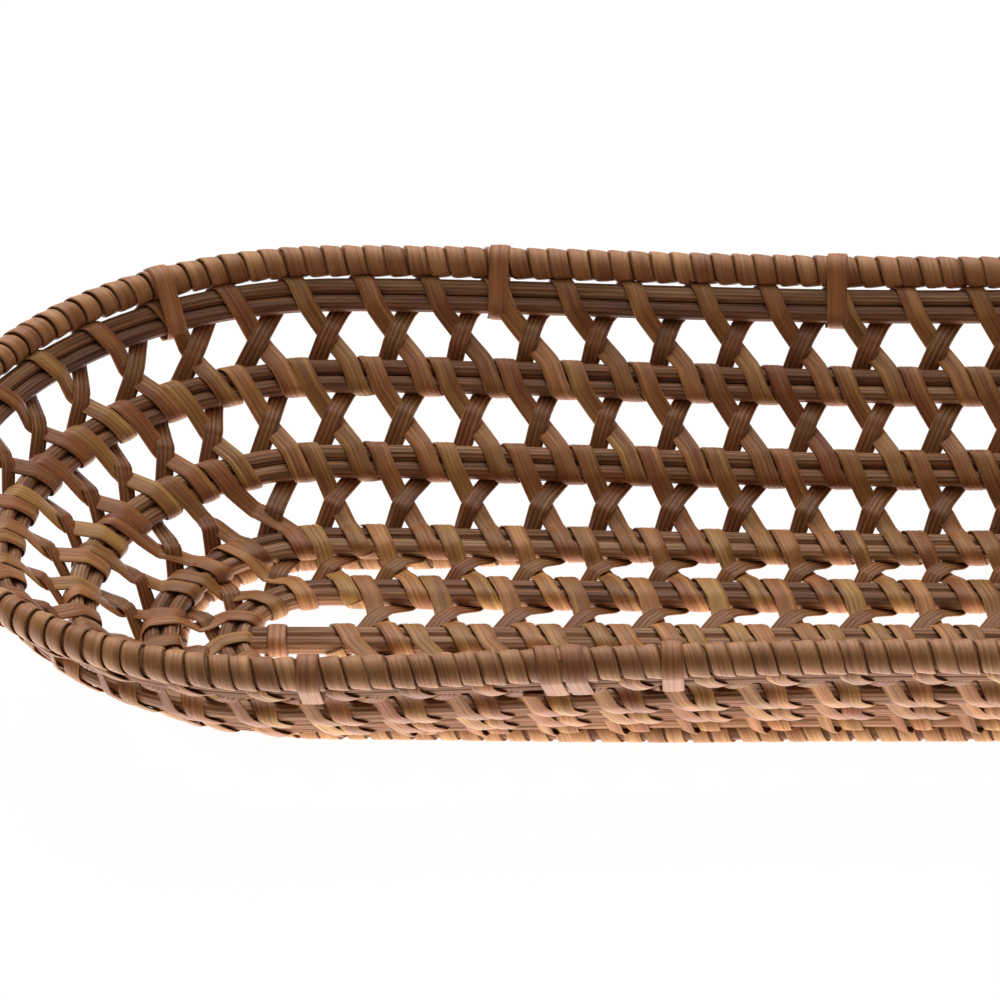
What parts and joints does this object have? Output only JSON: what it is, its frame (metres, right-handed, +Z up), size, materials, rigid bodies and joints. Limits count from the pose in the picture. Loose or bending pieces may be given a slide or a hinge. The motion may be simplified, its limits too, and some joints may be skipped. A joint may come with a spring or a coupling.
{
  "type": "rattan tray",
  "caption": "Long oval rattan tray with open hexagonal lacing between oblong rails, a bound rim and a bound foot ring.",
  "frame": {"origin": "middle of the footprint, on the surface that the tray stands on", "axes": "+X along the tray, +Y across it to the far side, +Z up"},
  "size_m": [0.4024, 0.1584, 0.0531],
  "materials": {
    "rim_peel": "satin rattan peel",
    "tie_peel": "satin rattan peel",
    "rail_rattan": "matt round rattan",
    "lacing_skin": "satin rattan peel",
    "lacing_flesh": "matt rattan peel",
    "foot_peel": "satin rattan peel"
  },
  "bodies": {
    "root": {"rim_core": "rail_rattan", "rim_binding": "rim_peel", "rim_splice_tie": "tie_peel", "foot_ring_core": "rail_rattan", "foot_ring_binding": "foot_peel", "upper_rail_outer_strand": "rail_rattan", "upper_rail_inner_strand": "rail_rattan", "middle_rail_outer_strand": "rail_rattan", "middle_rail_inner_strand": "rail_rattan", "lower_rail_outer_strand": "rail_rattan", "lower_rail_inner_strand": "rail_rattan", "base_edge_rail_outer_strand": "rail_rattan", "base_edge_rail_inner_strand": "rail_rattan", "base_inner_rail_outer_strand": "rail_rattan", "base_inner_rail_inner_strand": "rail_rattan", "centre_rail_far_strand": "rail_rattan", "centre_rail_near_strand": "rail_rattan", "centre_rail_right_binding": "tie_peel", "centre_rail_left_binding": "tie_peel", "upper_lacing_a": "lacing_skin", "upper_lacing_b": "lacing_flesh", "middle_lacing_a": "lacing_skin", "middle_lacing_b": "lacing_flesh", "lower_lacing_a": "lacing_skin", "lower_lacing_b": "lacing_flesh", "base_lacing_a": "lacing_skin", "base_lacing_b": "lacing_flesh", "centre_lacing_far_a": "lacing_skin", "centre_lacing_far_b": "lacing_flesh", "centre_lacing_near_a": "lacing_skin", "centre_lacing_near_b": "lacing_flesh", "rim_lashing_01": "tie_peel", "rim_lashing_02": "tie_peel", "rim_lashing_03": "tie_peel", "rim_lashing_04": "tie_peel", "rim_lashing_05": "tie_peel", "rim_lashing_06": "tie_peel", "rim_lashing_07": "tie_peel", "rim_lashing_08": "tie_peel", "rim_lashing_09": "tie_peel", "rim_lashing_10": "tie_peel", "rim_lashing_11": "tie_peel", "rim_lashing_12": "tie_peel"}
  },
  "joints": []
}
